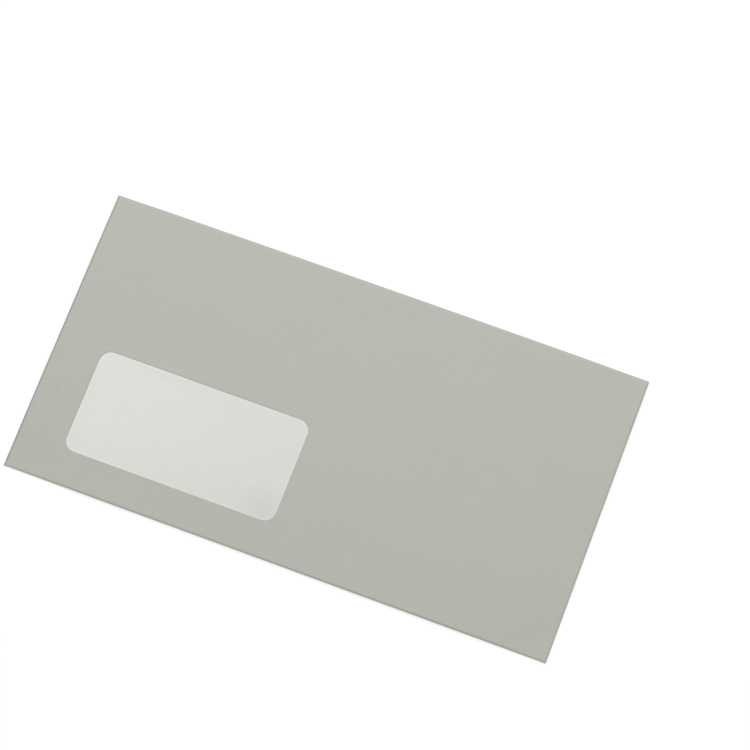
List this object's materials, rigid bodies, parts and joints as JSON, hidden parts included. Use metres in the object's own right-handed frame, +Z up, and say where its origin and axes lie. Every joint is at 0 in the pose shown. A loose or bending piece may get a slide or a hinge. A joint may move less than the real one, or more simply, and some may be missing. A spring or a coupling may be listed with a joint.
{
  "type": "window envelope",
  "caption": "Flat self-seal letter envelope folded from grey recycled paper, with a rounded address window low on the left of its front.",
  "frame": {"origin": "under the middle of the envelope's outline, at the height of the surface that it lies on", "axes": "+X along the long side to the right of the front, +Y towards the top edge with the flaps' fold, +Z up, out of the front, the window side, which lies uppermost"},
  "size_m": [0.235, 0.125, 0.0025],
  "materials": {
    "recycled_paper": "uncoated grey recycled paper, matt, with fine fibre specks",
    "window_film": "milky glassine-like window film, smooth, soft sheen",
    "dry_gum": "thin dry gum, slightly yellow",
    "latex_coat": "thin dry self-seal coat, satin"
  },
  "bodies": {
    "root": {"envelope_paper": "recycled_paper", "window_film": "window_film", "window_gum": "dry_gum", "seam_gum_left": "dry_gum", "seam_gum_right": "dry_gum", "upper_flap_latex": "latex_coat", "lower_flap_latex": "latex_coat"}
  },
  "joints": []
}
